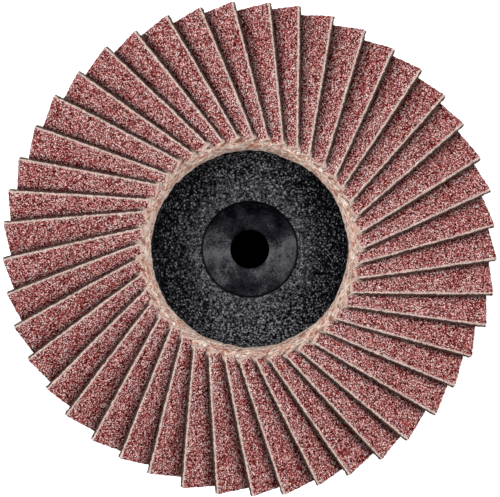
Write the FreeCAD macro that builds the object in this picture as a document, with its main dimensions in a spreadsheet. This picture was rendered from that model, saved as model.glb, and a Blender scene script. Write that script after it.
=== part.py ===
# Mini flap disc for a small angle grinder: a ring of abrasive flaps glued to a moulded plate
# with a quick-change stud on its back. Millimetres and degrees.
# The origin is the middle of the flat seat on the plate's back, and +Z runs along the spin
# axis, out of the working face. Clockwise is as seen from +Z.
import FreeCAD, Part
import os
import Sketcher

DRIVING_SIZES = {
    # the flaps: the origin of each is its exposed corner at the rim, on the grit side; its
    # length is the room between the ring's two radii
    "disc_radius": 37.5,
    "flap_count": 45,
    "ring_inner_radius": 15.8,
    "flap_width": 11.0,
    "flap_thickness": 0.85,
    "flap_slack": 0.18,
    "flap_heading": 6.3,
    "flap_droop": 13.5,
    "bend_radius": 180.0,
    "bend_heading": 56.0,
    # the resin that holds the flaps
    "bed_thickness": 0.6,
    "bed_step": 4.0,
    "seat_gap": 0.08,
    # the plate's working side
    "hub_face_radius": 7.25,
    "hub_face_recess": 0.3,
    "core_hole_radius": 2.95,
    "core_hole_depth": 7.0,
    "core_hole_bevel": 0.12,
    "web_thickness": 3.0,
    "dish_start_radius": 9.2,
    "ridge_inset": 0.85,
    "ridge_height": 6.0,
    "flange_slope": 12.0,
    "flange_thickness": 2.2,
    "flange_overhang": 4.5,
    # the plate's back
    "seat_inset": 2.0,
    "back_groove_width": 2.8,
    "collar_radius": 5.8,
    "collar_length": 1.2,
    "stud_core_radius": 4.4,
    "stud_length": 6.0,
    "tip_bevel": 0.6,
    # the coarse thread on the stud
    "thread_radius": 5.5,
    "thread_pitch": 3.0,
    "thread_run": 2.3,
    "thread_base": 1.2,
    "thread_crest": 0.5,
    "thread_overlap": 0.3,
    "thread_inset": 1.1,
}

# Lengths and angles that follow from the driving sizes, as expressions.
FLAP_LENGTH = "(sizes.disc_radius - sizes.ring_inner_radius)"
PLATE_RADIUS = "(sizes.disc_radius - sizes.flange_overhang)"
RIDGE_RADIUS = "(sizes.ring_inner_radius - sizes.ridge_inset)"
SEAT_RADIUS = "({} - sizes.seat_inset)".format(RIDGE_RADIUS)
GROOVE_RADIUS = "({} + sizes.back_groove_width)".format(SEAT_RADIUS)
HUB_FACE_HEIGHT = "(sizes.web_thickness - sizes.hub_face_recess)"
FLAP_PITCH = "(360 / sizes.flap_count)"

# Each flap lies on the next one clockwise, so its tilt follows from the room between them
# at the inner end, where they are closest.
INNER_ROOM = "(sizes.ring_inner_radius * 2 * pi / sizes.flap_count)"
FLAP_TILT = "(asin((sizes.flap_thickness + sizes.flap_slack) / {}) / 1 deg)".format(INNER_ROOM)


def flange_height(radius):
    """Height of the flange's conical top at a radius, as an expression."""
    return "(sizes.ridge_height - ({} - {}) * tan(sizes.flange_slope))".format(radius, RIDGE_RADIUS)


def make_sheet(document):
    """The spreadsheet with the driving sizes, one row for each."""
    sheet = document.addObject("Spreadsheet::Sheet", "sizes")
    for row, (name, size) in enumerate(DRIVING_SIZES.items(), start=1):
        sheet.set("A{}".format(row), name)
        sheet.set("B{}".format(row), str(size))
        sheet.setAlias("B{}".format(row), name)
    document.recompute()
    return sheet


def amount(document, expression):
    """The number that an expression gives now."""
    result = document.getObject("sizes").evalExpression(expression)
    return float(getattr(result, "Value", result))


def new_sketch(body, name, role):
    """A sketch on one of the body's own origin planes."""
    sketch = body.newObject("Sketcher::SketchObject", name)
    plane = next(item for item in body.Origin.OriginFeatures if item.Role == role)
    sketch.AttachmentSupport = [(plane, "")]
    sketch.MapMode = "FlatFace"
    return sketch


def bind(sketch, kind, name, expression, *places):
    """A named dimension in a sketch, bound to an expression."""
    now = amount(sketch.Document, expression)
    index = sketch.addConstraint(Sketcher.Constraint(kind, *places, now))
    sketch.renameConstraint(index, name)
    sketch.setExpression("Constraints.{}".format(name), expression)


def add_outline(sketch, prefix, corners, arcs=None):
    """A closed outline through named corners, each an (x, y) pair of expressions.

    arcs gives, for the corner that an arc starts at, its radius and whether it turns
    counter-clockwise; the other sides are straight.
    """
    arcs = arcs or {}
    names = list(corners)
    points = {}
    for name in names:
        across, up = corners[name]
        points[name] = FreeCAD.Vector(amount(sketch.Document, across), amount(sketch.Document, up), 0)
    sides = []
    for position, name in enumerate(names):
        start = points[name]
        end = points[names[(position + 1) % len(names)]]
        if name in arcs:
            radius_expression, counter_clockwise = arcs[name]
            side, first, last = arc_side(sketch, start, end, radius_expression, counter_clockwise)
            bind(sketch, "Radius", prefix + name + "_arc", radius_expression, side)
        else:
            side, first, last = sketch.addGeometry(Part.LineSegment(start, end)), 1, 2
        sides.append((side, first, last))
    for position, name in enumerate(names):
        side, first, _ = sides[position]
        before, _, before_last = sides[position - 1]
        sketch.addConstraint(Sketcher.Constraint("Coincident", before, before_last, side, first))
        across, up = corners[name]
        bind(sketch, "DistanceX", prefix + name + "_x", across, -1, 1, side, first)
        bind(sketch, "DistanceY", prefix + name + "_y", up, -1, 1, side, first)


def arc_side(sketch, start, end, radius_expression, counter_clockwise):
    """An arc from start to end, with its start and end points as the sketch numbers them."""
    radius = amount(sketch.Document, radius_expression)
    chord = end - start
    middle = (start + end) / 2
    rise = (radius ** 2 - (chord.Length / 2) ** 2) ** 0.5
    left = FreeCAD.Vector(-chord.y, chord.x, 0).normalize()
    centre = middle + left * rise if counter_clockwise else middle - left * rise
    first, last = (start, end) if counter_clockwise else (end, start)
    upward = FreeCAD.Vector(0, 0, 1)
    circle = Part.Circle(centre, upward, radius)
    arc = Part.ArcOfCircle(circle, circle.parameter(first), circle.parameter(last))
    side = sketch.addGeometry(arc)
    return (side, 1, 2) if counter_clockwise else (side, 2, 1)


def revolve(body, name, sketch):
    """A full turn of a sketch about its vertical axis."""
    feature = body.newObject("PartDesign::Revolution", name)
    feature.Profile = sketch
    feature.ReferenceAxis = (sketch, ["V_Axis"])
    feature.Angle = 360
    return feature


def make_backing_plate(document):
    """One moulding: hub, grained dish, conical flange, seat and stud."""
    body = document.addObject("PartDesign::Body", "backing_plate")
    section = new_sketch(body, "plate_section", "XZ_Plane")
    rim_top = flange_height(PLATE_RADIUS)
    rim_bottom = "({} - sizes.flange_thickness)".format(rim_top)
    groove_top = "({} - sizes.flange_thickness)".format(flange_height(GROOVE_RADIUS))
    hole_bottom = "({} - sizes.core_hole_depth)".format(HUB_FACE_HEIGHT)
    hole_mouth = "(sizes.core_hole_radius + sizes.core_hole_bevel)"
    corners = {
        "tip": ("0", "-sizes.stud_length"),
        "tip_edge": ("(sizes.stud_core_radius - sizes.tip_bevel)", "-sizes.stud_length"),
        "core_end": ("sizes.stud_core_radius", "(sizes.tip_bevel - sizes.stud_length)"),
        "core_root": ("sizes.stud_core_radius", "-sizes.collar_length"),
        "collar_end": ("sizes.collar_radius", "-sizes.collar_length"),
        "collar_root": ("sizes.collar_radius", "0"),
        "seat_edge": (SEAT_RADIUS, "0"),
        "groove": (GROOVE_RADIUS, groove_top),
        "rim_bottom": (PLATE_RADIUS, rim_bottom),
        "rim_top": (PLATE_RADIUS, rim_top),
        "ridge": (RIDGE_RADIUS, "sizes.ridge_height"),
        "dish_start": ("sizes.dish_start_radius", "sizes.web_thickness"),
        "hub_step_top": ("sizes.hub_face_radius", "sizes.web_thickness"),
        "hub_step": ("sizes.hub_face_radius", HUB_FACE_HEIGHT),
        "hole_mouth": (hole_mouth, HUB_FACE_HEIGHT),
        "hole_bevel": ("sizes.core_hole_radius", "({} - sizes.core_hole_bevel)".format(HUB_FACE_HEIGHT)),
        "hole_bottom": ("sizes.core_hole_radius", hole_bottom),
        "hole_middle": ("0", hole_bottom),
    }
    # The dish is an arc that leaves the web level, so its radius follows from its run and rise.
    dish_run = "({} - sizes.dish_start_radius)".format(RIDGE_RADIUS)
    dish_rise = "(sizes.ridge_height - sizes.web_thickness)"
    dish_radius = "(({run} ^ 2 + {rise} ^ 2) / (2 * {rise}))".format(run=dish_run, rise=dish_rise)
    add_outline(section, "plate_", corners, {"ridge": (dish_radius, False)})
    revolve(body, "plate_moulding", section)
    add_stud_thread(body)
    return body


def add_stud_thread(body):
    """The stud's coarse right-hand thread: one rib wound round its core."""
    rib = new_sketch(body, "thread_rib", "XZ_Plane")
    root = "(sizes.stud_core_radius - sizes.thread_overlap)"
    start = "(sizes.thread_inset + sizes.thread_base / 2 - sizes.stud_length)"
    corners = {
        "root_low": (root, "({} - sizes.thread_base / 2)".format(start)),
        "crest_low": ("sizes.thread_radius", "({} - sizes.thread_crest / 2)".format(start)),
        "crest_high": ("sizes.thread_radius", "({} + sizes.thread_crest / 2)".format(start)),
        "root_high": (root, "({} + sizes.thread_base / 2)".format(start)),
    }
    add_outline(rib, "rib_", corners)
    thread = body.newObject("PartDesign::AdditiveHelix", "stud_thread")
    thread.Profile = rib
    thread.ReferenceAxis = (rib, ["V_Axis"])
    thread.Mode = "pitch-height-angle"
    thread.setExpression("Pitch", "sizes.thread_pitch")
    thread.setExpression("Height", "sizes.thread_run")
    thread.LeftHanded = False


# The flap's own frame: X along the flap and outwards, Y across it to the glued edge, Z out of
# the grit. These give the underside of the glued edge, halfway along, from the exposed corner.
OUTER_BEND = "(sizes.bend_radius + sizes.flap_thickness)"
ACROSS_BEND = "(sizes.flap_width * sin(sizes.bend_heading) - {} / 2 * cos(sizes.bend_heading))"
ACROSS_BEND = ACROSS_BEND.format(FLAP_LENGTH)
EDGE_RISE = "(sizes.bend_radius - sqrt({} ^ 2 - {} ^ 2))".format(OUTER_BEND, ACROSS_BEND)
# The same point after the flap's tilt and droop: outwards, across and down.
EDGE_BELOW_TILT = "(sizes.flap_width * sin({tilt}) - {rise} * cos({tilt}))"
EDGE_BELOW_TILT = EDGE_BELOW_TILT.format(tilt=FLAP_TILT, rise=EDGE_RISE)
EDGE_OUT = "(-{} / 2 * cos(sizes.flap_droop) - {} * sin(sizes.flap_droop))"
EDGE_OUT = EDGE_OUT.format(FLAP_LENGTH, EDGE_BELOW_TILT)
EDGE_ACROSS = "(sizes.flap_width * cos({tilt}) + {rise} * sin({tilt}))".format(tilt=FLAP_TILT, rise=EDGE_RISE)
EDGE_DOWN = "({} * cos(sizes.flap_droop) - {} / 2 * sin(sizes.flap_droop))"
EDGE_DOWN = EDGE_DOWN.format(EDGE_BELOW_TILT, FLAP_LENGTH)


def seat_radius():
    """Distance of that point from the disc's axis, as an expression."""
    heading = "sizes.flap_heading"
    along = "(sizes.disc_radius + {} * cos({}) - {} * sin({}))"
    along = along.format(EDGE_OUT, heading, EDGE_ACROSS, heading)
    beside = "({} * sin({}) + {} * cos({}))".format(EDGE_OUT, heading, EDGE_ACROSS, heading)
    return "sqrt({} ^ 2 + {} ^ 2)".format(along, beside)


def flap_placement(number):
    """Placement of a flap: its corner on the disc's outer circle, its glued edge on the resin."""
    turn = "({} * {})".format(number, FLAP_PITCH)
    height = "({} + sizes.bed_thickness + sizes.seat_gap + {})"
    height = height.format(flange_height(seat_radius()), EDGE_DOWN)
    corner = "vector(sizes.disc_radius * cos({turn}); sizes.disc_radius * sin({turn}); {height})"
    corner = corner.format(turn=turn, height=height)
    facing = "rotation({turn} + sizes.flap_heading; sizes.flap_droop; -{tilt})"
    facing = facing.format(turn=turn, tilt=FLAP_TILT)
    return "placement({}; {})".format(corner, facing)


def make_flap(document, number):
    """One flap: a web of coated cloth with a slight oblique bend, cut to a rectangle."""
    name = "flap_{:02d}".format(number)
    body = document.addObject("PartDesign::Body", name)
    reach = "(2 * ({} + sizes.flap_width))".format(FLAP_LENGTH)

    # The web's section across the bend: two arcs about one centre, hollow side up.
    bend = new_sketch(body, name + "_bend", "XZ_Plane")
    bend.AttachmentOffset = FreeCAD.Placement(
        FreeCAD.Vector(), FreeCAD.Rotation(FreeCAD.Vector(0, 1, 0), 1))
    bend.setExpression("AttachmentOffset.Rotation.Angle", "sizes.bend_heading")
    half = "({} + sizes.flap_width)".format(FLAP_LENGTH)
    top_end = "(sizes.bend_radius - sqrt(sizes.bend_radius ^ 2 - {} ^ 2))".format(half)
    low_end = "(sizes.bend_radius - sqrt({} ^ 2 - {} ^ 2))".format(OUTER_BEND, half)
    corners = {
        "low_in": ("-" + half, low_end),
        "low_out": (half, low_end),
        "top_out": (half, top_end),
        "top_in": ("-" + half, top_end),
    }
    arcs = {"low_in": (OUTER_BEND, True), "top_out": ("sizes.bend_radius", False)}
    add_outline(bend, "bend_", corners, arcs)
    web = body.newObject("PartDesign::Pad", name + "_web")
    web.Profile = bend
    web.SideType = "Symmetric"
    web.setExpression("Length", reach)

    # What lies outside the rectangle is cut away.
    cut = new_sketch(body, name + "_cut", "XY_Plane")
    frame = {
        "low_in": ("-" + reach, "-" + reach),
        "low_out": (reach, "-" + reach),
        "top_out": (reach, reach),
        "top_in": ("-" + reach, reach),
    }
    rectangle = {
        "hub_exposed": ("-" + FLAP_LENGTH, "0"),
        "rim_exposed": ("0", "0"),
        "rim_glued": ("0", "sizes.flap_width"),
        "hub_glued": ("-" + FLAP_LENGTH, "sizes.flap_width"),
    }
    add_outline(cut, "frame_", frame)
    add_outline(cut, "edge_", rectangle)
    trim = body.newObject("PartDesign::Pocket", name + "_trim")
    trim.Profile = cut
    trim.SideType = "Symmetric"
    trim.setExpression("Length", reach)
    body.setExpression("Placement", flap_placement(number - 1))
    return body


def make_adhesive_bed(document):
    """The ring of hard resin between the flange and the flaps' lower edges."""
    body = document.addObject("PartDesign::Body", "adhesive_bed")
    section = new_sketch(body, "resin_section", "XZ_Plane")
    outer = "({} - sizes.bed_step)".format(PLATE_RADIUS)
    corners = {
        "inner_low": (RIDGE_RADIUS, flange_height(RIDGE_RADIUS)),
        "outer_low": (outer, flange_height(outer)),
        "outer_high": (outer, "({} + sizes.bed_thickness)".format(flange_height(outer))),
        "inner_high": (RIDGE_RADIUS, "({} + sizes.bed_thickness)".format(flange_height(RIDGE_RADIUS))),
    }
    add_outline(section, "resin_", corners)
    revolve(body, "resin_ring", section)
    return body


def check(document, pieces):
    """Stops before anything is written if a feature failed or a piece is no single solid."""
    for item in document.Objects:
        if "Invalid" in item.State or "Error" in item.State:
            raise RuntimeError("{} failed: {}".format(item.Name, item.State))
    for piece in pieces:
        if piece.Shape.isNull() or not piece.Shape.isValid():
            raise RuntimeError("{} has no valid shape".format(piece.Label))
        if len(piece.Shape.Solids) != 1:
            raise RuntimeError("{} has {} solids".format(piece.Label, len(piece.Shape.Solids)))


def main():
    document = FreeCAD.newDocument("mini_flap_disc")
    make_sheet(document)
    plate = make_backing_plate(document)
    count = int(amount(document, "sizes.flap_count"))
    flaps = [make_flap(document, number) for number in range(1, count + 1)]
    bed = make_adhesive_bed(document)
    document.recompute()
    pieces = [plate, bed] + flaps
    check(document, pieces)
    os.makedirs("parts", exist_ok=True)
    for piece in pieces:
        piece.Shape.exportStep("parts/{}.step".format(piece.Label))


main()
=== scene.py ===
# %% [markdown]
# A mini flap disc, seen straight from above on its working face. Forty-five flaps of
# abrasive cloth overlap in a ring and are glued to a black moulded plate, which has a
# threaded stud on its hidden back. Every size here is in metres, in the same frame as the
# solid model: the origin is on the spin axis in the plane of the plate's seat, +Z points
# out of the working face. This first step loads the solid model.

# %% Load the solid model
import math
import random

import bpy
import bmesh
from mathutils import Euler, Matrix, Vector


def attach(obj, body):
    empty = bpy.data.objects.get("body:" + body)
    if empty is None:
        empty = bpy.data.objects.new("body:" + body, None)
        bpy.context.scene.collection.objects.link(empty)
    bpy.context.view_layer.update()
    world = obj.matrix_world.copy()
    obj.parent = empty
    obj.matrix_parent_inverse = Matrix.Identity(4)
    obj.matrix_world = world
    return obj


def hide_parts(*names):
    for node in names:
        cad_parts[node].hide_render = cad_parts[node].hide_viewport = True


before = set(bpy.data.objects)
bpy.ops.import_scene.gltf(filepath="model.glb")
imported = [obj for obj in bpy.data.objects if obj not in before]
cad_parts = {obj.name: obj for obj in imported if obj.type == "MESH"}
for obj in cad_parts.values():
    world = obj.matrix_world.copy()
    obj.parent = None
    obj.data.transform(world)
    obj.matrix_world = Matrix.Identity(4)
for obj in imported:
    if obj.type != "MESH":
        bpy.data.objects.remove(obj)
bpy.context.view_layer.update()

# %% [markdown]
# Geometry Nodes and shader nodes are both made of boxes joined by wires. A few small
# helpers keep the trees below readable: feed puts a value or a wire into a socket, step adds
# one node with its settings and inputs, and maths adds one sum. A socket can be named or
# numbered. They work alike in both kinds of tree. The helper called about is there because
# most patterns are noises that swing round a middle and count with a gain of their own.

# %% Helpers for node trees
def feed(socket, value):
    """Puts a value into a socket, or joins a wire to it."""
    if isinstance(value, bpy.types.NodeSocket):
        socket.id_data.links.new(value, socket)
    elif value is not None:
        socket.default_value = value


def step(tree, kind, inputs=None, **settings):
    """Adds one node; inputs maps socket names or numbers to values or wires."""
    node = tree.nodes.new(kind)
    for name, value in settings.items():
        setattr(node, name, value)
    for name, value in (inputs or {}).items():
        feed(node.inputs[name], value)
    return node


def maths(tree, operation, *values):
    """Adds one sum, such as ADD or SINE, and returns its result."""
    node = step(tree, "ShaderNodeMath", operation=operation)
    for socket, value in zip(node.inputs, values):
        feed(socket, value)
    return node.outputs[0]


def total(tree, *values):
    """Adds up any number of values."""
    result = values[0]
    for value in values[1:]:
        result = maths(tree, "ADD", result, value)
    return result


def product(tree, *values):
    """Multiplies any number of values."""
    result = values[0]
    for value in values[1:]:
        result = maths(tree, "MULTIPLY", result, value)
    return result


def about(tree, value, middle, gain):
    """How far a value lies above a middle, times a gain."""
    return product(tree, maths(tree, "SUBTRACT", value, middle), gain)


def vector_of(tree, x, y, z):
    """Joins three numbers into one vector."""
    return step(tree, "ShaderNodeCombineXYZ", {0: x, 1: y, 2: z}).outputs[0]


def parts_of(tree, vector):
    """Splits a vector into its three numbers."""
    return step(tree, "ShaderNodeSeparateXYZ", {0: vector}).outputs


def noise(tree, place, scale, detail=2.0, roughness=0.5):
    """Soft random values, from 0 to 1; scale is patches per metre."""
    return step(tree, "ShaderNodeTexNoise", {"Vector": place, "Scale": scale, "Detail": detail,
                                             "Roughness": roughness}).outputs["Fac"]


def spread(tree, value, low, high, new_low=0.0, new_high=1.0):
    """Maps one range of values on another, and clips what lies outside."""
    return step(tree, "ShaderNodeMapRange", {"Value": value, "From Min": low, "From Max": high,
                                             "To Min": new_low, "To Max": new_high}).outputs[0]


# %% [markdown]
# A Geometry Nodes tree that makes a mesh from nothing still needs an object to sit on. The
# helper below starts a tree with named inputs, and the next one runs it: it puts the
# modifier on an object, sets each input by the identifier of its socket, lets Blender work
# the mesh out, and copies the result into a plain object without the modifier.

# %% Helpers that start and run a geometry tree
SOCKETS = {float: "NodeSocketFloat", int: "NodeSocketInt", tuple: "NodeSocketVector",
           bpy.types.Material: "NodeSocketMaterial"}
SIZE, COUNT, PLACE, KIND = float, int, tuple, bpy.types.Material


def new_tree(name, inputs):
    """A geometry tree whose named inputs take the kinds of the values given."""
    tree = bpy.data.node_groups.new(name, "GeometryNodeTree")
    tree.is_modifier = True
    tree.interface.new_socket("Geometry", in_out="INPUT", socket_type="NodeSocketGeometry")
    for label, kind in inputs.items():
        tree.interface.new_socket(label, in_out="INPUT", socket_type=SOCKETS[kind])
    tree.interface.new_socket("Geometry", in_out="OUTPUT", socket_type="NodeSocketGeometry")
    return tree, tree.nodes.new("NodeGroupInput").outputs


def end_tree(tree, geometry):
    """Ends the tree with real geometry, because instances don't leave Blender."""
    real = step(tree, "GeometryNodeRealizeInstances", {"Geometry": geometry}).outputs[0]
    feed(tree.nodes.new("NodeGroupOutput").inputs[0], real)
    print("tree:", tree.name, "with", len(tree.nodes), "nodes")


def run_tree(name, tree, values, start=None):
    """Runs a tree with its inputs set and returns the result as a plain mesh object."""
    seat = bpy.data.objects.new(name, start or bpy.data.meshes.new(name))
    bpy.context.scene.collection.objects.link(seat)
    modifier = seat.modifiers.new("shape", "NODES")
    modifier.node_group = tree
    for item in tree.interface.items_tree:
        if item.in_out == "INPUT" and item.name in values:
            modifier[item.identifier] = values[item.name]
    bpy.context.view_layer.update()
    result = bpy.data.meshes.new_from_object(seat.evaluated_get(bpy.context.evaluated_depsgraph_get()))
    seat.modifiers.remove(modifier)
    seat.data = result
    result.name = name
    return seat


def triangles(piece):
    """How many triangles a mesh has."""
    return sum(len(face.vertices) - 2 for face in piece.data.polygons)


# %% [markdown]
# Every finish here is a tree of shader nodes that ends in one Principled shader. Fixed
# values, such as a roughness, go straight on that shader's sockets, and what changes from
# place to place is wired in. The disc's finishes have a low specular level: cloth, grit
# and grained plastic scatter light at countless small faces, and a mirror-like sheen
# over them would turn the dark gaps of the photograph grey.

# %% Helpers for materials
def principled(name, **fixed):
    """A new material; fixed values go straight on the shader's own sockets."""
    material = bpy.data.materials.new(name)
    material.use_nodes = True
    tree = material.node_tree
    shader = tree.nodes["Principled BSDF"]
    for socket, value in fixed.items():
        shader.inputs[socket.replace("_", " ")].default_value = value
    return material, tree, shader


def stored(tree, name, sort="Fac"):
    """A value, or with sort a vector, that the mesh carries under a name."""
    return step(tree, "ShaderNodeAttribute", attribute_name=name).outputs[sort]


def ramp(tree, value, stops):
    """Turns a value into a colour through stops, each a place and a colour."""
    node = step(tree, "ShaderNodeValToRGB", {0: value})
    strip = node.color_ramp.elements
    while len(strip) < len(stops):
        strip.new(0.5)
    for element, (place, colour) in zip(strip, stops):
        element.position = place
        element.color = (*colour, 1.0)
    return node.outputs[0]


def mix(tree, share, first, second):
    """Blends two colours by a share from 0 to 1."""
    node = step(tree, "ShaderNodeMix", data_type="RGBA")
    feed(node.inputs[0], share)
    for socket, colour in ((node.inputs[6], first), (node.inputs[7], second)):
        feed(socket, (*colour, 1.0) if isinstance(colour, tuple) else colour)
    return node.outputs[2]


def bump(tree, height, distance, strength):
    """A bump from a height; distance is how high its full range stands, in metres."""
    return step(tree, "ShaderNodeBump", {"Height": height, "Distance": distance,
                                         "Strength": strength}).outputs[0]


# %% [markdown]
# The resin is needed twice: for the ring itself and for the flap ends that it covers. It was
# smeared along the ring while it was soft, so its lumps and flecks are drawn out that way.
# That is why the helper takes its place in three numbers, of which the one along the ring
# comes squeezed: a noise read at a squeezed place looks stretched.

# %% The resin's colour
STRAND_LUMPS, STRAND_FLECKS, STRAND_STRETCH = 1700.0, 4000.0, 0.4
RESIN_TONES = ((0.38, (0.50, 0.20, 0.14)), (0.47, (0.92, 0.58, 0.46)), (0.57, (1.00, 0.91, 0.81)))
RESIN_FLECK = (0.22, 0.07, 0.05)


def glue_colour(tree, across_ring, along_ring, height):
    """Amber and cream strands with small dark flecks, and the lumps that they make."""
    strands = vector_of(tree, across_ring, along_ring, height)
    lump = noise(tree, strands, STRAND_LUMPS, 3.0, 0.65)
    fleck = noise(tree, strands, STRAND_FLECKS, 2.0, 0.7)
    colour = ramp(tree, lump, RESIN_TONES)
    colour = mix(tree, spread(tree, fleck, 0.38, 0.50, 0.85, 0.0), colour, RESIN_FLECK)
    return colour, total(tree, lump, fleck)


# %% [markdown]
# The grit is crushed aluminium oxide, a brown-red mineral, sprinkled on wet glue and then
# covered with a second coat of red-brown resin. Close up, each grain has its own tone, and
# the tones carry painted light as well: the almost black ones are painted shade for grains
# in shade, and the pale pink ones are painted glints on fresh faces. A Voronoi texture
# gives each cell one random tone, which is what grains look like, and a finer noise breaks
# the cells up. The pattern reads a place that is stored in each flap, so that no two flaps
# are alike and the pattern stays on the flap.

# %% The grit's grains
FLAP_PLACE, OPEN_SHARE = "flap_place", "open_share"
FROM_EDGE, FROM_INNER_END = "from_edge", "from_inner_end"
GRAINS, CRUMBS, PATCHES, RAGS = 7600.0, 9000.0, 520.0, 3300.0
# The ramp's darkest stops are painted shade and its palest stops are painted glints.
GRIT_SHADE_AND_GLINT_TONES = ((0.06, (0.036, 0.0010, 0.0010)), (0.38, (0.170, 0.0085, 0.0085)), (0.60, (0.405, 0.066, 0.062)),
              (0.80, (0.770, 0.250, 0.236)), (0.97, (1.000, 0.850, 0.820)))

grit_coat, tree, shader = principled("grit_coat", Roughness=0.55, Specular_IOR_Level=0.02)
place = stored(tree, FLAP_PLACE, "Vector")
from_inner_end = stored(tree, FROM_INNER_END)
grain = step(tree, "ShaderNodeTexVoronoi", {"Vector": place, "Scale": GRAINS, "Randomness": 1.0})
grain_tone = parts_of(tree, grain.outputs["Color"])[0]
crumb = noise(tree, place, CRUMBS, 1.0, 0.7)
patch = noise(tree, place, PATCHES, 3.0, 0.6)
# Painted light: the grit is made a little lighter towards the inner end.
painted_light_inwards = spread(tree, from_inner_end, 0.001, 0.016, 0.06, 0.0)
tone = total(tree, about(tree, grain_tone, 0.08, 1.15), about(tree, crumb, 0.5, 0.6),
             about(tree, patch, 0.5, 0.28), painted_light_inwards)
colour = ramp(tree, tone, GRIT_SHADE_AND_GLINT_TONES)
height = total(tree, maths(tree, "SUBTRACT", 1.0, grain.outputs["Distance"]), product(tree, crumb, 0.5))
feed(shader.inputs["Normal"], bump(tree, height, 0.00014, 0.9))
print("material:", grit_coat.name)

# %% [markdown]
# The coat isn't even. Near the exposed cut edge it is thinner, and the pale cloth shines
# through. At the inner end, resin from the ring has soaked it. Close to the line where the
# next flap covers it, a painted shadow makes the coat almost black: it stands in for the
# shade under the next flap's edge. And the inner ends that lie wholly under the next flap
# are covered with the ring's resin. Four values tell where all this is: the place, the
# distances from the cut edge and from the inner end, and the open share, which is 0 at the
# line of the next flap and 1 at some distance from it. A noise makes every border ragged.

# %% The grit's borders
WORN_EDGE, SOAKED_END, GLUED_END = (0.00002, 0.00026), (0.0004, 0.0009), (0.0014, 0.0019)
SHADED_BAND, COVERED = (0.26, 0.84), (0.0, 0.6)
BARE_CLOTH, SOAKED_GRIT, PAINTED_GAP_SHADOW = (1.00, 0.84, 0.74), (0.96, 0.64, 0.52), (0.026, 0.0035, 0.0030)
RAG, SOAK_RAG = 0.0010, 0.0009

open_share = stored(tree, OPEN_SHARE)
ragged = noise(tree, place, RAGS, 2.0, 0.7)
rag_shift = about(tree, ragged, 0.5, RAG)
worn = spread(tree, total(tree, stored(tree, FROM_EDGE), rag_shift), *WORN_EDGE, 0.78, 0.0)
colour = mix(tree, worn, colour, BARE_CLOTH)
soaked = spread(tree, total(tree, from_inner_end, product(tree, ragged, SOAK_RAG)), *SOAKED_END, 0.60, 0.0)
colour = mix(tree, soaked, colour, SOAKED_GRIT)
# Painted shadow: the grit is darkened beside the line where the next flap covers it.
painted_gap_shadow = spread(tree, total(tree, open_share, about(tree, grain_tone, 0.5, 0.5)), *SHADED_BAND, 0.76, 0.0)
colour = mix(tree, painted_gap_shadow, colour, PAINTED_GAP_SHADOW)
glued = product(tree, spread(tree, open_share, *COVERED, 1.0, 0.0),
                spread(tree, total(tree, from_inner_end, rag_shift), *GLUED_END, 1.0, 0.0))
along, across, depth = parts_of(tree, place)
glue = glue_colour(tree, along, product(tree, across, STRAND_STRETCH), depth)[0]
feed(shader.inputs["Base Color"], mix(tree, glued, colour, glue))
print("grit: nodes in its tree", len(tree.nodes))

# %% [markdown]
# The flap's carrier is a heavy cotton cloth stiffened with resin. Two faces of it show: the
# back, where warp and weft make a fine square weave, and the cut edges, where the cloth is
# sheared through and its pale thread ends stand a little ragged. One material serves both,
# because the stored place runs through the whole thickness: two crossed waves make the
# weave and a fast noise makes the thread ends. The foot of a cut edge is dark: partly the
# brown resin that the cloth has drawn in there, partly painted shade for the gap below the
# edge. At the inner end it is much less dark.

# %% The cloth's material
THREAD, FIBRES, CLUMPS, STAINS = 0.00042, 6000.0, 2300.0, 260.0
CLOTH_TONES = ((0.36, (0.42, 0.22, 0.17)), (0.48, (1.00, 0.78, 0.66)), (0.60, (1.00, 0.97, 0.90)))
STAINED_CLOTH, SOAKED_AND_SHADED_CLOTH = (0.56, 0.34, 0.27), (0.060, 0.022, 0.018)
CLUMP_RAG, DARK_FOOT, PALE_END = 0.0009, (0.00060, 0.00080), (0.0002, 0.0008)

cloth, tree, shader = principled("cloth", Roughness=0.85, Specular_IOR_Level=0.03)
place = stored(tree, FLAP_PLACE, "Vector")
along, across, depth = parts_of(tree, place)
warp = maths(tree, "SINE", product(tree, along, math.pi / THREAD))
weft = maths(tree, "SINE", product(tree, across, math.pi / THREAD))
fibre = noise(tree, place, FIBRES, 3.0, 0.7)
clump = noise(tree, place, CLUMPS, 2.0, 0.7)
stain = noise(tree, place, STAINS, 3.0, 0.6)
colour = ramp(tree, fibre, CLOTH_TONES)
colour = mix(tree, spread(tree, stain, 0.45, 0.75, 0.0, 0.35), colour, STAINED_CLOTH)
# The dark foot is partly drawn-in resin and partly painted shade.
soaked_and_shaded_foot = spread(tree, total(tree, depth, product(tree, clump, CLUMP_RAG)), *DARK_FOOT, 0.0, 0.95)
soaked_and_shaded_foot = product(tree, soaked_and_shaded_foot, spread(tree, stored(tree, FROM_INNER_END), *PALE_END, 0.25, 1.0))
feed(shader.inputs["Base Color"], mix(tree, soaked_and_shaded_foot, colour, SOAKED_AND_SHADED_CLOTH))
height = total(tree, product(tree, product(tree, warp, weft), 0.5), fibre)
feed(shader.inputs["Normal"], bump(tree, height, 0.00006, 0.8))
print("material:", cloth.name)

# %% [markdown]
# One flap is a rectangle of cloth with a slight oblique bend, hollow on the grit side, that
# stands on its glued long edge and leans on its neighbour. The tree starts from a block cut
# into many small cells, maps the block on the bent sheet by one formula, and then turns and
# moves it to its place on the ring. The cells are finer towards the exposed edge, since the
# rest lies under the next flap. The end skew cuts the inner end at a slant, so that it looks
# square from above although the flap leans. Two noises make it real: a slow one waves the
# sheet, and a fast one lifts single grains. A third frays the cut edges. The line along
# which the next flap covers this one is given by its start and slope.

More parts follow.
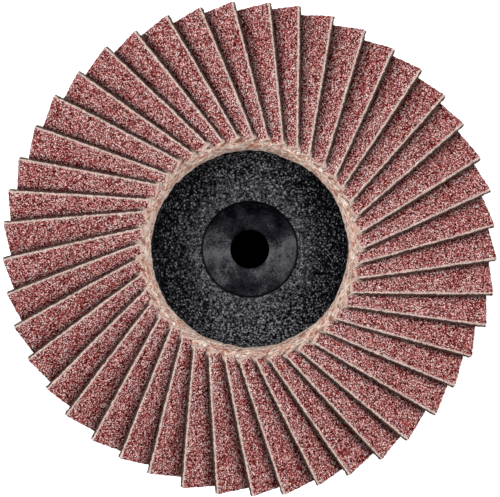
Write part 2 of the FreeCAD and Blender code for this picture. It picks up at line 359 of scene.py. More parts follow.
# %% The flap's sheet
flap_tree, given = new_tree("coated_cloth_flap", {
    "Length": SIZE, "Width": SIZE, "Thickness": SIZE, "Bend radius": SIZE, "Bend heading": SIZE,
    "Wave height": SIZE, "Grain height": SIZE, "Fray": SIZE, "Cover start": SIZE, "Cover slope": SIZE,
    "Gap": SIZE, "Gap growth": SIZE, "End skew": SIZE, "Corner": PLACE, "Facing": PLACE,
    "Seed": SIZE, "Grit": KIND, "Cloth": KIND})
CUTS_ALONG, CUTS_ACROSS, CUTS_DEEP, FINER_AT_EDGE = 118, 28, 4, 1.45
WAVES, SEED_STEP, RELIEF_GRAINS, FRAYS, COAT_SHARE = 130.0, 0.05, 2600.0, 2900.0, 0.2

t = flap_tree
block = step(t, "GeometryNodeMeshCube", {"Size": (1.0, 1.0, 1.0), "Vertices X": CUTS_ALONG,
                                         "Vertices Y": CUTS_ACROSS, "Vertices Z": CUTS_DEEP}).outputs[0]
x, y, z = parts_of(t, step(t, "GeometryNodeInputPosition").outputs[0])
across = product(t, maths(t, "POWER", maths(t, "ADD", y, 0.5), FINER_AT_EDGE), given["Width"])
length = maths(t, "SUBTRACT", given["Length"], product(t, across, given["End skew"]))
along = about(t, x, 0.5, length)
depth = product(t, maths(t, "SUBTRACT", 0.5, z), given["Thickness"])

# The bend: a distance along the line that the bend runs across, and the height there.
reach = total(t, product(t, along, maths(t, "COSINE", given["Bend heading"])),
              product(t, across, maths(t, "SINE", given["Bend heading"])))
outer = total(t, given["Bend radius"], depth)
fall = maths(t, "SQRT", maths(t, "SUBTRACT", product(t, outer, outer), product(t, reach, reach)))
rise = maths(t, "SUBTRACT", given["Bend radius"], fall)

# The stored place is also where the noises are read, so a seed makes each flap its own.
place = vector_of(t, total(t, along, product(t, given["Seed"], SEED_STEP)), across, depth)
top = maths(t, "GREATER_THAN", z, 0.49)
grain = about(t, noise(t, place, RELIEF_GRAINS, 2.0, 0.7), 0.5, top)
rise = total(t, rise, about(t, noise(t, place, WAVES, 1.0), 0.5, given["Wave height"]),
             product(t, grain, given["Grain height"]))

# Ragged cut edges: only what lies on the outline moves, sideways.
edge = maths(t, "GREATER_THAN", maths(t, "MAXIMUM", maths(t, "ABSOLUTE", x), maths(t, "ABSOLUTE", y)), 0.499)
rag = step(t, "ShaderNodeTexNoise", {"Vector": place, "Scale": FRAYS, "Detail": 2.0, "Roughness": 0.7})
rag_x, rag_y, rag_z = parts_of(t, rag.outputs["Color"])
pull = product(t, edge, given["Fray"])
along = total(t, along, about(t, rag_x, 0.5, pull))
across = total(t, across, about(t, rag_y, 0.5, pull))

# %% [markdown]
# The second half of the tree stores on each point what the materials read: its place, its
# open share and its distances from the cut edge and the inner end. It then moves the
# block's points to the sheet, gives the top skin
# the grit and the rest the cloth, and carries the flap to its corner on the ring. A skin can
# be told by its depth, which is read back from the stored place, because by then the points
# themselves have moved.

# %% The flap's stored values and finish
covered = total(t, given["Cover start"], product(t, along, given["Cover slope"]))
gap = total(t, given["Gap"], product(t, along, given["Gap growth"]))
open_share = maths(t, "DIVIDE", maths(t, "SUBTRACT", covered, across), gap)
from_inner_end = total(t, along, length)
from_edge = maths(t, "MINIMUM", across, from_inner_end)
shape = step(t, "GeometryNodeStoreNamedAttribute", {"Geometry": block, "Name": FLAP_PLACE, "Value": place},
             data_type="FLOAT_VECTOR", domain="POINT").outputs[0]
for name, value in ((OPEN_SHARE, open_share), (FROM_EDGE, from_edge), (FROM_INNER_END, from_inner_end)):
    shape = step(t, "GeometryNodeStoreNamedAttribute", {"Geometry": shape, "Name": name, "Value": value},
                 data_type="FLOAT", domain="POINT").outputs[0]
shape = step(t, "GeometryNodeSetPosition", {"Geometry": shape, "Position": vector_of(t, along, across, rise)}
             ).outputs[0]
shape = step(t, "GeometryNodeSetMaterial", {"Geometry": shape, "Material": given["Cloth"]}).outputs[0]
kept_place = step(t, "GeometryNodeInputNamedAttribute", {"Name": FLAP_PLACE},
                  data_type="FLOAT_VECTOR").outputs[0]
coat = maths(t, "LESS_THAN", parts_of(t, kept_place)[2], product(t, given["Thickness"], COAT_SHARE))
shape = step(t, "GeometryNodeSetMaterial", {"Geometry": shape, "Selection": coat, "Material": given["Grit"]}
             ).outputs[0]
shape = step(t, "GeometryNodeTransform", {"Geometry": shape, "Translation": given["Corner"],
                                          "Rotation": given["Facing"]}).outputs[0]
end_tree(t, shape)

# %% [markdown]
# All flaps come from one web of cloth, so they share their sizes. Their direction is
# measured in the photograph: each exposed edge, made longer inwards, passes the axis at 7.1
# millimetres, which is a heading of 10.9 degrees. The solid flaps point less far past the
# axis, so these are a little longer than the solids to reach the same ring. The corners and
# the outer circle are the solids': where the first corner lies is read from the solid model,
# and the others follow at even steps. The tilt comes from how closely the flaps stack.

# %% The flap's sizes
FLAPS = 45
FLAP_LENGTH, FLAP_WIDTH, FLAP_THICKNESS = 0.0223, 0.0110, 0.00085
BEND_RADIUS, BEND_HEADING = 0.180, math.radians(56)
HEADING, DROOP = math.radians(10.9), math.radians(13.5)
RING_INNER_RADIUS, FLAP_SLACK = 0.0158, 0.00018
TILT = math.asin((FLAP_THICKNESS + FLAP_SLACK) / (2 * math.pi * RING_INNER_RADIUS / FLAPS))

first_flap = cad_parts["flap_01"].data
corner = max((vertex.co for vertex in first_flap.vertices), key=lambda co: co.x)
DISC_RADIUS, CORNER_HEIGHT = math.hypot(corner.x, corner.y), corner.z
print("corner: radius", round(DISC_RADIUS, 5), "height", round(CORNER_HEIGHT, 5), "m; tilt",
      round(math.degrees(TILT), 1), "degrees")


def bend_height(x, y, depth=0.0):
    """Height of the bent sheet at a flap's own x and y."""
    s = x * math.cos(BEND_HEADING) + y * math.sin(BEND_HEADING)
    return BEND_RADIUS - math.sqrt((BEND_RADIUS + depth) ** 2 - s * s)


def on_sheet(place, x, y, depth=0.0):
    """The point of a flap at its own x, y and depth, for a place of (corner, facing)."""
    return Euler(place[1]).to_matrix() @ Vector((x, y, bend_height(x, y, depth))) + Vector(place[0])


def covered_at(place, point):
    """Where the point straight below lies on the flap, as its own x and y, found in a few tries."""
    turned = Euler(place[1]).to_matrix()
    below = point.copy()
    for again in range(5):
        own = turned.transposed() @ (below - Vector(place[0]))
        below.z -= (own.z - bend_height(own.x, own.y)) / turned[2][2]
    return own


# %% [markdown]
# The machine that sets the flaps isn't perfect: in the photograph their corners lie up to
# half a millimetre in or out of the circle and turn about a degree either way. Each flap
# gets small shifts of its own from one seeded generator, so that every run gives the same
# disc. The line where the next flap covers this one is found from two points of that flap's
# lower side, its outer and its inner corner, dropped straight down on this flap.

# %% The forty-five flaps
TURN_PLAY, DROOP_PLAY, HEADING_PLAY, RADIUS_PLAY = 0.010, 0.004, 0.012, (-0.00030, 0.00010)
WAVE_HEIGHT, GRAIN_HEIGHT, FRAY, GAP, GAP_GROWTH = 0.00030, 0.00018, 0.00056, 0.00125, 0.038

chance = random.Random(45)
places = []
for number in range(FLAPS):
    turn = 2 * math.pi * number / FLAPS
    turn += chance.uniform(-TURN_PLAY, TURN_PLAY)
    radius = DISC_RADIUS + chance.uniform(*RADIUS_PLAY)
    droop = DROOP + chance.uniform(-DROOP_PLAY, DROOP_PLAY)
    heading = turn + HEADING + chance.uniform(-HEADING_PLAY, HEADING_PLAY)
    places.append(((radius * math.cos(turn), radius * math.sin(turn), CORNER_HEIGHT),
                   (-TILT, droop, heading)))
for number, place in enumerate(places):
    above = places[(number + 1) % FLAPS]
    outer = covered_at(place, on_sheet(above, 0.0, 0.0, FLAP_THICKNESS))
    inner = covered_at(place, on_sheet(above, -FLAP_LENGTH, 0.0, FLAP_THICKNESS))
    cover_slope = (outer.y - inner.y) / (outer.x - inner.x)
    node = "flap_%02d" % (number + 1)
    flap = run_tree(node + "_cloth", flap_tree, {
        "Length": FLAP_LENGTH, "Width": FLAP_WIDTH, "Thickness": FLAP_THICKNESS,
        "Bend radius": BEND_RADIUS, "Bend heading": BEND_HEADING, "Wave height": WAVE_HEIGHT,
        "Grain height": GRAIN_HEIGHT, "Fray": FRAY, "Seed": number + 1.0,
        "Cover start": outer.y - cover_slope * outer.x, "Cover slope": cover_slope,
        "Gap": GAP, "Gap growth": GAP_GROWTH, "End skew": math.tan(DROOP) * math.sin(TILT),
        "Corner": place[0], "Facing": place[1], "Grit": grit_coat, "Cloth": cloth})
    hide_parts(node)
    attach(flap, "root")
print("cover line of the last flap: start", round(outer.y, 5), "slope", round(cover_slope, 3))
print("flaps:", len(places), "of", triangles(flap), "triangles")

# %% [markdown]
# The plate is one moulding in black glass-filled plastic. Its dish is spark-eroded in the
# mould, which leaves a coarse grain, while the face round the hole is turned smooth and
# shows flow marks and scuffs. The material tells the two apart by a stored share called
# grained. First comes the smooth face: clouds, a painted sheen that makes it paler in a fan
# to the left and right of the hole, painted shade that darkens it towards the top, a lighter
# zone round the hole, the turning tool's faint rings and fine scuffs all add up to one
# value, which a ramp turns into tones of black.

# %% The plate's smooth face
GRAINED = "grained"
HUB_RADIUS, HOLE_RADIUS = 0.00725, 0.00295
CLOUDS, TOOL_RINGS, SCUFFS = 330.0, 5200.0, 3600.0
SMOOTH_TONES = ((0.05, (0.0015, 0.0017, 0.0032)), (0.50, (0.018, 0.0185, 0.0225)),
                (1.00, (0.108, 0.110, 0.120)))


def from_axis_of(tree, px, py):
    """Distance of a point from the spin axis."""
    return maths(tree, "SQRT", total(tree, product(tree, px, px), product(tree, py, py)))


plate_plastic, tree, shader = principled("plate_plastic", Specular_IOR_Level=0.025)
object_place = step(tree, "ShaderNodeTexCoord").outputs["Object"]
grained = stored(tree, GRAINED)
px, py, pz = parts_of(tree, object_place)
from_axis = maths(tree, "MAXIMUM", from_axis_of(tree, px, py), 0.0001)
right, up = maths(tree, "DIVIDE", px, from_axis), maths(tree, "DIVIDE", py, from_axis)
streak = noise(tree, vector_of(tree, right, up, product(tree, from_axis, 90.0)), 9.0, 3.0, 0.6)
cloud = noise(tree, object_place, CLOUDS, 4.0, 0.65)
rings = noise(tree, vector_of(tree, from_axis, 0.0, 0.0), TOOL_RINGS, 1.0, 0.6)
scuff = noise(tree, object_place, SCUFFS, 2.0, 0.75)
# Painted sheen: paler in a fan to the left and right. Painted shade: darker towards the top.
painted_sheen_fan = maths(tree, "POWER", maths(tree, "ABSOLUTE", right), 3.0)
flow_and_painted_light = total(tree, product(tree, painted_sheen_fan, 0.54), about(tree, cloud, 0.40, 1.8))
flow_and_painted_light = maths(tree, "SUBTRACT", flow_and_painted_light, product(tree, up, 0.14))
flow_and_painted_light = total(tree, flow_and_painted_light, spread(tree, from_axis, 0.0030, 0.0060, 0.18, 0.0), about(tree, scuff, 0.5, 1.1),
             about(tree, rings, 0.5, 0.3))
smooth_colour = ramp(tree, flow_and_painted_light, SMOOTH_TONES)
smooth_rough = spread(tree, total(tree, product(tree, streak, 0.4), flow_and_painted_light), 0.2, 1.0, 0.26, 0.44)
smooth_height = total(tree, product(tree, streak, 0.08), product(tree, rings, 0.13),
                      product(tree, cloud, 0.10))

# %% [markdown]
# The grained skin is a field of small domes with pale specks between them: partly glass in
# the plastic, partly painted glints. Cells of two sizes give it its tones, and painted light
# and shade make the dome tops lighter and the hollows darker. It gets coarser up the dish.
# Painted shade makes it darker at the left and right, where the raised flaps keep the light
# off the hollows between the domes, and painted light makes it lighter at the top and
# bottom. More painted shade takes off most near the ridge, darker at the top there and
# lighter at the bottom.

# %% The plate's grained skin
SPECKS, PEBBLES, DUSTS = 5600.0, 2900.0, 8000.0
# The palest tones are partly glass specks and partly painted glints.
GRAIN_AND_GLINT_TONES = ((0.18, (0.0004, 0.0005, 0.0012)), (0.42, (0.028, 0.029, 0.033)),
               (0.70, (0.115, 0.118, 0.127)), (0.95, (0.330, 0.340, 0.362)))
COARSER, SHADED_TOP, SHADED_RIM = (0.0085, 0.0120), (0.0106, 0.0126), (0.0128, 0.0142)

speck = step(tree, "ShaderNodeTexVoronoi", {"Vector": object_place, "Scale": SPECKS})
pebble = step(tree, "ShaderNodeTexVoronoi", {"Vector": object_place, "Scale": PEBBLES})
dust = noise(tree, object_place, DUSTS, 2.0, 0.8)
coarse = spread(tree, from_axis, *COARSER)
# Painted light and shade on the domes: tops lighter, hollows darker.
painted_dome_light = maths(tree, "SUBTRACT", 0.45, pebble.outputs["Distance"])
grain_tone = total(tree, product(tree, parts_of(tree, speck.outputs["Color"])[0], 0.60),
                   product(tree, parts_of(tree, pebble.outputs["Color"])[0], 0.40),
                   product(tree, painted_dome_light, coarse, 1.3))
# Painted light and shade: darker at the left and right, lighter at the top and bottom, and a painted shadow
# near the ridge.
beside = maths(tree, "SUBTRACT", 1.0, maths(tree, "POWER", maths(tree, "ABSOLUTE", up), 4.0))
painted_light_and_shade = product(tree, coarse, maths(tree, "SUBTRACT", product(tree, beside, 0.33), 0.09))
painted_light_and_shade = total(tree, painted_light_and_shade, spread(tree, from_axis, *SHADED_RIM, 0.0, 0.10),
               product(tree, up, spread(tree, from_axis, *SHADED_TOP, 0.0, 0.07)))
grain_tone = total(tree, maths(tree, "SUBTRACT", grain_tone, painted_light_and_shade), about(tree, dust, 0.5, 0.35))
grain_colour = ramp(tree, grain_tone, GRAIN_AND_GLINT_TONES)
grain_rough = spread(tree, dust, 0.35, 0.65, 0.30, 0.50)
grain_height = total(tree, product(tree, dust, 0.5), pebble.outputs["Distance"])

# %% [markdown]
# The two finishes are joined by the stored share. The joint between the mould's core and its
# cavity leaves a thin groove round the smooth face, which reads as a dark line: its near black
# is partly dust in the groove and partly painted shade; it is on the working side only. The
# hole is painted black to its bottom as painted shade, as in the photograph: no lamp reaches
# down there.

# %% The plate's material
NO_LIGHT = (0.001, 0.001, 0.001)

# Painted shade: the hole is coloured black to its bottom.
in_hole = product(tree, maths(tree, "LESS_THAN", from_axis, HOLE_RADIUS + 0.00002),
                  maths(tree, "GREATER_THAN", pz, -0.0055))
from_line = maths(tree, "ABSOLUTE", maths(tree, "SUBTRACT", from_axis, HUB_RADIUS))
# The dark line is partly dust and partly painted shade.
groove_dust_and_shade = product(tree, spread(tree, from_line, 0.00009, 0.00022, 0.95, 0.0),
                  maths(tree, "GREATER_THAN", pz, 0.0015))
colour = mix(tree, groove_dust_and_shade, mix(tree, grained, smooth_colour, grain_colour), NO_LIGHT)
feed(shader.inputs["Base Color"], mix(tree, in_hole, colour, NO_LIGHT))
smooth = maths(tree, "SUBTRACT", 1.0, grained)
roughness = total(tree, product(tree, grained, grain_rough), product(tree, smooth, smooth_rough))
feed(shader.inputs["Roughness"], maths(tree, "MAXIMUM", roughness, in_hole))
height = total(tree, product(tree, smooth, smooth_height), product(tree, grained, grain_height))
feed(shader.inputs["Normal"], bump(tree, height, 0.00016, 1.0))
print("material:", plate_plastic.name, "with", len(tree.nodes), "nodes")

# %% [markdown]
# The plate, its stud and the resin ring are all shapes of revolution. The first helper
# rounds the corners of a section, as a mould-maker does, because a moulding with knife edges
# catches no light, and walks along it in steps that are short where the skin is grained and
# long where it is smooth. A section is a list of corners, each with its radius and height,
# the size of its rounding and its share of grain.

# %% Helpers that round and divide a section
ROUNDING_POINTS, LONG_STEP = 5, 0.0008


def walk(corners, short_step):
    """Points of (radius, height, grain share) along a section with rounded corners."""
    spots = [Vector((r, z)) for r, z, rounding, share in corners]
    path = []
    for number, (r, z, rounding, share) in enumerate(corners):
        here = spots[number]
        if rounding and 0 < number < len(corners) - 1:
            back, ahead = spots[number - 1] - here, spots[number + 1] - here
            half = back.angle(ahead) / 2
            cut = min(rounding / math.tan(half), 0.45 * back.length, 0.45 * ahead.length)
            start, end = here + back.normalized() * cut, here + ahead.normalized() * cut
            for part in range(ROUNDING_POINTS):
                s = part / (ROUNDING_POINTS - 1)
                path.append((start * (1 - s) ** 2 + here * 2 * s * (1 - s) + end * s ** 2, share))
        else:
            path.append((here.copy(), share))
    points = [(path[0][0].x, path[0][0].y, path[0][1])]
    for (a, share_a), (b, share_b) in zip(path, path[1:]):
        stride = short_step if min(share_a, share_b) > 0.5 else LONG_STEP
        pieces = max(1, round((b - a).length / stride))
        for piece in range(1, pieces + 1):
            s = piece / pieces
            p = a.lerp(b, s)
            points.append((p.x, p.y, share_a * (1 - s) + share_b * s))
    return points


def section_mesh(name, points):
    """The section's points as a mesh of loose points that carry their share of grain."""
    mesh = bpy.data.meshes.new(name)
    mesh.from_pydata([(r, 0.0, z) for r, z, share in points], [], [])
    share = mesh.attributes.new(GRAINED, "FLOAT", "POINT")
    share.data.foreach_set("value", [share for r, z, share in points])
    return mesh


# %% [markdown]
# The tree turns such a section round the axis: a flat grid is laid down, each row takes its
# place from one point of the section, and each column is a step of the turn. Merging joins
# the last column to the first. The grain is real relief where the share says so: a noise
# pushes each point along its normal.

# %% The tree that turns a section
turned_tree, given = new_tree("turned_section", {
    "Points": COUNT, "Turns": COUNT, "Relief": SIZE, "Relief scale": SIZE, "Finish": KIND})
t = turned_tree
columns = maths(t, "ADD", given["Turns"], 1.0)
grid = step(t, "GeometryNodeMeshGrid", {"Size X": 1.0, "Size Y": 1.0, "Vertices X": given["Points"],
                                        "Vertices Y": columns}).outputs[0]
number = step(t, "GeometryNodeInputIndex").outputs[0]
row = maths(t, "FLOOR", maths(t, "DIVIDE", maths(t, "ADD", number, 0.5), columns))
column = maths(t, "SUBTRACT", number, product(t, row, columns))
angle = maths(t, "DIVIDE", product(t, column, 2 * math.pi), given["Turns"])
position = step(t, "GeometryNodeInputPosition").outputs[0]
point = step(t, "GeometryNodeSampleIndex", {"Geometry": given["Geometry"], "Value": position, "Index": row},
             data_type="FLOAT_VECTOR", domain="POINT").outputs[0]
share = step(t, "GeometryNodeInputNamedAttribute", {"Name": GRAINED}, data_type="FLOAT").outputs[0]
point_share = step(t, "GeometryNodeSampleIndex",
                   {"Geometry": given["Geometry"], "Value": share, "Index": row},
                   data_type="FLOAT", domain="POINT").outputs[0]
radius, flat, height = parts_of(t, point)
shape = step(t, "GeometryNodeStoreNamedAttribute", {"Geometry": grid, "Name": GRAINED, "Value": point_share},
             data_type="FLOAT", domain="POINT").outputs[0]
around = vector_of(t, product(t, radius, maths(t, "COSINE", angle)),
                   product(t, radius, maths(t, "SINE", angle)), height)
shape = step(t, "GeometryNodeSetPosition", {"Geometry": shape, "Position": around}).outputs[0]
shape = step(t, "GeometryNodeMergeByDistance", {"Geometry": shape, "Distance": 0.000002}).outputs[0]
lift = product(t, about(t, noise(t, position, given["Relief scale"], 2.0, 0.7), 0.5, given["Relief"]), share)
normal = step(t, "GeometryNodeInputNormal").outputs[0]
offset = step(t, "ShaderNodeVectorMath", {0: normal, "Scale": lift}, operation="SCALE").outputs[0]
shape = step(t, "GeometryNodeSetPosition", {"Geometry": shape, "Offset": offset}).outputs[0]
shape = step(t, "GeometryNodeSetMaterial", {"Geometry": shape, "Material": given["Finish"]}).outputs[0]
end_tree(t, shape)


def face_outwards(piece):
    """Turns every face outwards and shades the piece smooth."""
    shell = bmesh.new()
    shell.from_mesh(piece.data)
    bmesh.ops.recalc_face_normals(shell, faces=shell.faces)
    for face in shell.faces:
        face.smooth = True
    shell.to_mesh(piece.data)
    shell.free()


def volume(piece):
    """Volume inside a closed mesh, in cubic millimetres: below zero if it is inside out."""
    shell = bmesh.new()
    shell.from_mesh(piece.data)
    inside = shell.calc_volume(signed=True) * 1e9
    shell.free()
    return inside


# %% [markdown]
# The plate's section runs from the stud's tip outwards, round the flange's rim and back in
# over the working side to the bottom of the core hole. The dish is an arc that leaves the
# flat web level and climbs to the ridge where the flaps begin; the smooth face sits a
# little lower than the grained web, which is the thin dark ring that the photograph shows.

# %% The plate's sizes
WEB, RECESS = 0.0030, 0.0003
HOLE_DEPTH, HOLE_BEVEL = 0.0070, 0.00012
DISH_START, DISH_PARTS = 0.0092, 16
RIDGE_RADIUS, RIDGE_HEIGHT = RING_INNER_RADIUS - 0.00085, 0.0060
FLANGE_SLOPE, FLANGE_THICKNESS, PLATE_RADIUS = math.radians(12), 0.0022, DISC_RADIUS - 0.0045
SEAT_RADIUS = RIDGE_RADIUS - 0.0020
GROOVE_RADIUS = SEAT_RADIUS + 0.0028
COLLAR_RADIUS, COLLAR_LENGTH = 0.0058, 0.0012
STUD_RADIUS, STUD_LENGTH, TIP_BEVEL = 0.0044, 0.0060, 0.0006


def flange_top(radius):
    """Height of the flange's conical top at a radius."""
    return RIDGE_HEIGHT - (radius - RIDGE_RADIUS) * math.tan(FLANGE_SLOPE)


run, climb = RIDGE_RADIUS - DISH_START, RIDGE_HEIGHT - WEB
dish_radius = (run ** 2 + climb ** 2) / (2 * climb)
dish_sweep = math.asin(run / dish_radius)
dish = []
for part in range(1, DISH_PARTS):
    lean = dish_sweep * (1 - part / DISH_PARTS)
    dish.append((DISH_START + dish_radius * math.sin(lean),
                 WEB + dish_radius * (1 - math.cos(lean)), 0.0, 1.0))
print("dish: arc of radius", round(dish_radius, 4), "m over", round(math.degrees(dish_sweep), 1), "degrees")

# %% [markdown]
# Each corner below is a radius, a height, the size of its rounding and its share of grain.
# The back and the stud are smooth, the flange has a light grain and the dish a full one.

# %% The plate
hub_face = WEB - RECESS
corners = [
    (0.0, -STUD_LENGTH, 0.0, 0.0),
    (STUD_RADIUS - TIP_BEVEL, -STUD_LENGTH, 0.00015, 0.0),
    (STUD_RADIUS, TIP_BEVEL - STUD_LENGTH, 0.00015, 0.0),
    (STUD_RADIUS, -COLLAR_LENGTH, 0.00015, 0.0),
    (COLLAR_RADIUS, -COLLAR_LENGTH, 0.00020, 0.0),
    (COLLAR_RADIUS, 0.0, 0.00020, 0.0),
    (SEAT_RADIUS, 0.0, 0.00025, 0.0),
    (GROOVE_RADIUS, flange_top(GROOVE_RADIUS) - FLANGE_THICKNESS, 0.00060, 0.3),
    (PLATE_RADIUS, flange_top(PLATE_RADIUS) - FLANGE_THICKNESS, 0.00050, 0.3),
    (PLATE_RADIUS, flange_top(PLATE_RADIUS), 0.00040, 0.2),
    (RIDGE_RADIUS, RIDGE_HEIGHT, 0.00030, 0.6),
    *dish,
    (DISH_START, WEB, 0.0, 1.0),
    (HUB_RADIUS, WEB, 0.00010, 0.9),
    (HUB_RADIUS - 0.00004, hub_face, 0.00008, 0.0),
    (HOLE_RADIUS + HOLE_BEVEL, hub_face, 0.00004, 0.0),
    (HOLE_RADIUS, hub_face - HOLE_BEVEL, 0.00004, 0.0),
    (HOLE_RADIUS, hub_face - HOLE_DEPTH, 0.00015, 0.0),
    (0.0, hub_face - HOLE_DEPTH, 0.0, 0.0),
]
section = walk(corners, 0.00022)
plate = run_tree("backing_plate_moulding", turned_tree,
                 {"Points": len(section), "Turns": 460, "Relief": 0.00032, "Relief scale": 2300.0,
                  "Finish": plate_plastic}, section_mesh("plate_section", section))
face_outwards(plate)
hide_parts("backing_plate")
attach(plate, "root")
on_web = [vertex.co.z for vertex in plate.data.vertices
          if HUB_RADIUS + 0.0004 < math.hypot(vertex.co.x, vertex.co.y) < DISH_START
          and vertex.co.z > WEB / 2]
print("grain on the web: heights from", round(min(on_web), 5), "to", round(max(on_web), 5), "m")
print("plate:", len(section), "points in the section,", triangles(plate), "triangles, volume",
      round(volume(plate)), "cubic mm")

# %% [markdown]
# The stud screws into the holder with one coarse turn of thread. A rib that follows a
# helix is what Curve to Mesh is for: a straight line is divided, bent round the core by its
# own factor, and a small four-sided section is drawn along it. The rib shrinks into the core
# at both ends, as a moulded thread runs out.

# %% The stud's thread
thread_tree, given = new_tree("stud_thread", {
    "Core radius": SIZE, "Start height": SIZE, "Pitch": SIZE, "Turns": SIZE, "Root": SIZE, "Crest": SIZE,
    "Depth": SIZE, "Steps": COUNT, "Finish": KIND})
RIB_SUNK, RUN_OUT, RUN_OUT_SIZE = -0.0004, 0.09, 0.12

t = thread_tree
line = step(t, "GeometryNodeCurvePrimitiveLine").outputs[0]
line = step(t, "GeometryNodeResampleCurve", {"Curve": line, "Count": given["Steps"]}).outputs[0]
factor = step(t, "GeometryNodeSplineParameter").outputs["Factor"]
turned = product(t, factor, given["Turns"])
angle = product(t, turned, 2 * math.pi)
helix = vector_of(t, product(t, given["Core radius"], maths(t, "COSINE", angle)),
                  product(t, given["Core radius"], maths(t, "SINE", angle)),
                  total(t, given["Start height"], product(t, turned, given["Pitch"])))
line = step(t, "GeometryNodeSetPosition", {"Geometry": line, "Position": helix}).outputs[0]
line = step(t, "GeometryNodeSetCurveNormal", {0: line}, mode="Z_UP").outputs[0]
ends = maths(t, "MINIMUM", factor, maths(t, "SUBTRACT", 1.0, factor))
size = spread(t, ends, 0.0, RUN_OUT, RUN_OUT_SIZE, 1.0)
half_root, half_crest = product(t, given["Root"], 0.5), product(t, given["Crest"], 0.5)
rib = step(t, "GeometryNodeCurvePrimitiveQuadrilateral", {
    "Point 1": vector_of(t, RIB_SUNK, half_root, 0.0),
    "Point 2": vector_of(t, given["Depth"], half_crest, 0.0),
    "Point 3": vector_of(t, given["Depth"], product(t, half_crest, -1.0), 0.0),
    "Point 4": vector_of(t, RIB_SUNK, product(t, half_root, -1.0), 0.0)}, mode="POINTS").outputs[0]
shape = step(t, "GeometryNodeCurveToMesh", {"Curve": line, "Profile Curve": rib, "Scale": size,
                                            "Fill Caps": True}).outputs[0]
shape = step(t, "GeometryNodeSetMaterial", {"Geometry": shape, "Material": given["Finish"]}).outputs[0]
end_tree(t, shape)
thread = run_tree("stud_thread_rib", thread_tree, {
    "Core radius": STUD_RADIUS, "Start height": -0.0043, "Pitch": 0.0030, "Turns": 0.767, "Root": 0.0012,
    "Crest": 0.0005, "Depth": 0.0011, "Steps": 160, "Finish": plate_plastic})
face_outwards(thread)
for face in thread.data.polygons:
    face.use_smooth = False
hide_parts("backing_plate")
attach(thread, "root")
reach = max(math.hypot(vertex.co.x, vertex.co.y) for vertex in thread.data.vertices)
print("thread:", triangles(thread), "triangles, reach", round(reach, 5), "volume", round(volume(thread), 1))

# %% [markdown]
# The resin that holds the flaps shows as a narrow pale rim between the dish and the cloth
# ends. It is poured as a bead and squeezed up between the flaps, so its surface is lumpy and
# its tone goes from cream to amber. The same turned tree makes it, with a rounded section
# and deep slow relief. Its colour reads the Object coordinates: the ring's own place is
# squeezed in the plane, so that the strands run round it.

# %% The resin ring
resin_finish, tree, shader = principled("resin_finish", Roughness=0.5, Specular_IOR_Level=0.15)
px, py, pz = parts_of(tree, step(tree, "ShaderNodeTexCoord").outputs["Object"])
colour, lumps = glue_colour(tree, product(tree, px, STRAND_STRETCH), product(tree, py, STRAND_STRETCH),
                            total(tree, from_axis_of(tree, px, py), pz))
feed(shader.inputs["Base Color"], colour)
feed(shader.inputs["Normal"], bump(tree, lumps, 0.00012, 0.8))

BED_THICKNESS = 0.0006
bed_outer = PLATE_RADIUS - 0.0040
corners = [
    (RIDGE_RADIUS + 0.0002, flange_top(RIDGE_RADIUS + 0.0002) - 0.0002, 0.0, 1.0),
    (bed_outer, flange_top(bed_outer) - 0.0001, 0.0, 0.2),
    (bed_outer, flange_top(bed_outer) + BED_THICKNESS, 0.00020, 0.2),
    (RIDGE_RADIUS + 0.0016, flange_top(RIDGE_RADIUS + 0.0016) + BED_THICKNESS, 0.0, 0.8),
    (RIDGE_RADIUS + 0.0005, RIDGE_HEIGHT + BED_THICKNESS + 0.0001, 0.00030, 1.0),
    (RIDGE_RADIUS, RIDGE_HEIGHT + 0.00015, 0.0, 1.0),
]
section = walk(corners, 0.00030)
section.append(section[0])
resin = run_tree("resin_ring", turned_tree,
                 {"Points": len(section), "Turns": 420, "Relief": 0.00045, "Relief scale": 850.0,
                  "Finish": resin_finish}, section_mesh("resin_section", section))
face_outwards(resin)
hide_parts("adhesive_bed")
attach(resin, "root")
print("resin:", triangles(resin), "triangles, volume", round(volume(resin)), "cubic mm")

# %% [markdown]
# When the flaps are pressed into the bead, resin creeps up between their inner ends and
# sets there in lumps and strands. It is a second turned skin with strong relief that leans
# outwards as it rises, as the flap ends do, so that it shows between them and over some of
# them.

# %% The resin between the flap ends
corners = [
    (0.0160, 0.0066, 0.0, 1.0), (0.01528, 0.0068, 0.0003, 1.0), (0.01508, 0.0086, 0.0003, 1.0),
    (0.01512, 0.0097, 0.0003, 1.0), (0.01533, 0.0106, 0.0003, 1.0), (0.01562, 0.0113, 0.0002, 1.0),
    (0.01600, 0.0117, 0.0002, 0.8), (0.01640, 0.0115, 0.0002, 0.6), (0.01700, 0.0108, 0.0, 0.3),
    (0.01720, 0.0070, 0.0, 0.0),
]
section = walk(corners, 0.00028)
section.append(section[0])
squeezed = run_tree("squeezed_resin", turned_tree,
                    {"Points": len(section), "Turns": 600, "Relief": 0.00120, "Relief scale": 1100.0,
                     "Finish": resin_finish}, section_mesh("squeezed_section", section))
face_outwards(squeezed)
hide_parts("adhesive_bed")
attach(squeezed, "root")
print("squeezed resin:", triangles(squeezed), "triangles, volume", round(volume(squeezed)), "cubic mm")

# %% [markdown]
# The disc lies on its stud on a plain white floor. For the camera the floor also glows a
# little, so that it comes out as white as the photograph's background while the disc's soft
# shadow stays. Mirrors and glass get to see the same floor.

# %% The floor
FLOOR_REACH, FLOOR_GLOW = 3.0, 0.62

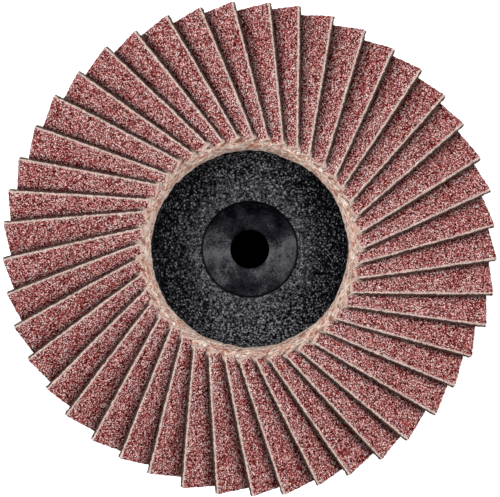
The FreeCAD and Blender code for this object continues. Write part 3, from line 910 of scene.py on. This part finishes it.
floor_mesh = bpy.data.meshes.new("floor")
floor_mesh.from_pydata([(x * FLOOR_REACH, y * FLOOR_REACH, -STUD_LENGTH)
                        for x, y in ((-1, -1), (1, -1), (1, 1), (-1, 1))], [], [(0, 1, 2, 3)])
floor = bpy.data.objects.new("floor", floor_mesh)
bpy.context.scene.collection.objects.link(floor)
paper, tree, shader = principled("paper", Roughness=0.9, Base_Color=(0.86, 0.86, 0.86, 1.0),
                                 Emission_Color=(1.0, 1.0, 1.0, 1.0))
seen = step(tree, "ShaderNodeLightPath").outputs
glow = maths(tree, "MAXIMUM", seen["Is Camera Ray"],
             maths(tree, "MAXIMUM", seen["Is Glossy Ray"], seen["Is Transmission Ray"]))
feed(shader.inputs["Emission Strength"], product(tree, glow, FLOOR_GLOW))
floor_mesh.materials.append(paper)
print("floor: at height", -STUD_LENGTH, "m, glow", FLOOR_GLOW)

# %% [markdown]
# Product photographs of this kind are lit by two wide soft boxes, one on each side of the
# picture. That is why the gaps between the flaps are darkest at the top and bottom, where
# both boxes shine across them; the painted shadow in the grit darkens the gaps all round.
# The dish is darker at its left and right, because the raised ring of flaps keeps the nearer
# box off it, and painted shade in the plate's material adds to that. A smaller lamp above the
# picture makes the lower part of the resin ring brighter, and a still weaker one below it
# keeps the upper part from going dull.

# %% Light
AIM = (0.0, 0.0, 0.005)
BOX_SIZE, LAMP_SIZE = (0.46, 0.30), (0.18, 0.26)
WORLD_GLOW = 0.08


def soft_box(name, place, size, power):
    """A rectangular lamp at a place, aimed at the disc."""
    lamp = bpy.data.lights.new(name, "AREA")
    lamp.shape = "RECTANGLE"
    lamp.size, lamp.size_y = size
    lamp.energy = power
    stand = bpy.data.objects.new(name, lamp)
    bpy.context.scene.collection.objects.link(stand)
    stand.location = place
    stand.rotation_euler = (Vector(AIM) - Vector(place)).to_track_quat("-Z", "Y").to_euler()
    print("lamp:", name, power, "W")


soft_box("left_box", (-0.48, 0.02, 0.44), BOX_SIZE, 3.15)
soft_box("right_box", (0.48, 0.00, 0.44), BOX_SIZE, 2.65)
soft_box("upper_lamp", (0.0, 0.38, 0.55), LAMP_SIZE, 0.85)
soft_box("lower_lamp", (0.0, -0.38, 0.55), LAMP_SIZE, 0.45)
world = bpy.data.worlds.new("studio")
bpy.context.scene.world = world
world.use_nodes = True
world.node_tree.nodes["Background"].inputs[0].default_value = (1.0, 1.0, 1.0, 1.0)
world.node_tree.nodes["Background"].inputs[1].default_value = WORLD_GLOW

# %% [markdown]
# The camera looks straight down through a long lens, so that nothing but the face shows. The
# lens is worked out from the size of one of the photograph's pixels on the disc, at the
# height of the flaps' corners. The camera is turned a little about its own axis, to give the
# flaps the photograph's places, and shifted by less than a pixel.

# %% Camera
CAMERA_DISTANCE, PHOTO_WIDTH, SENSOR = 0.90, 500, 36.0
PIXEL = 0.0756 / PHOTO_WIDTH
ROLL, SHIFT_RIGHT, SHIFT_UP = math.radians(1.8), 0.2 * PIXEL, 0.7 * PIXEL

lens = bpy.data.cameras.new("camera")
camera = bpy.data.objects.new("camera", lens)
bpy.context.scene.collection.objects.link(camera)
lens.sensor_width = SENSOR
lens.lens = SENSOR * (CAMERA_DISTANCE - CORNER_HEIGHT) / (PHOTO_WIDTH * PIXEL)
lens.clip_end = 20.0
camera.location = (SHIFT_RIGHT * math.cos(ROLL) - SHIFT_UP * math.sin(ROLL),
                   SHIFT_RIGHT * math.sin(ROLL) + SHIFT_UP * math.cos(ROLL), CAMERA_DISTANCE)
camera.rotation_euler = Euler((0.0, 0.0, ROLL))
bpy.context.scene.camera = camera
bpy.context.scene.view_settings.view_transform = "Standard"
print("camera: lens", round(lens.lens, 1), "mm at", CAMERA_DISTANCE, "m")
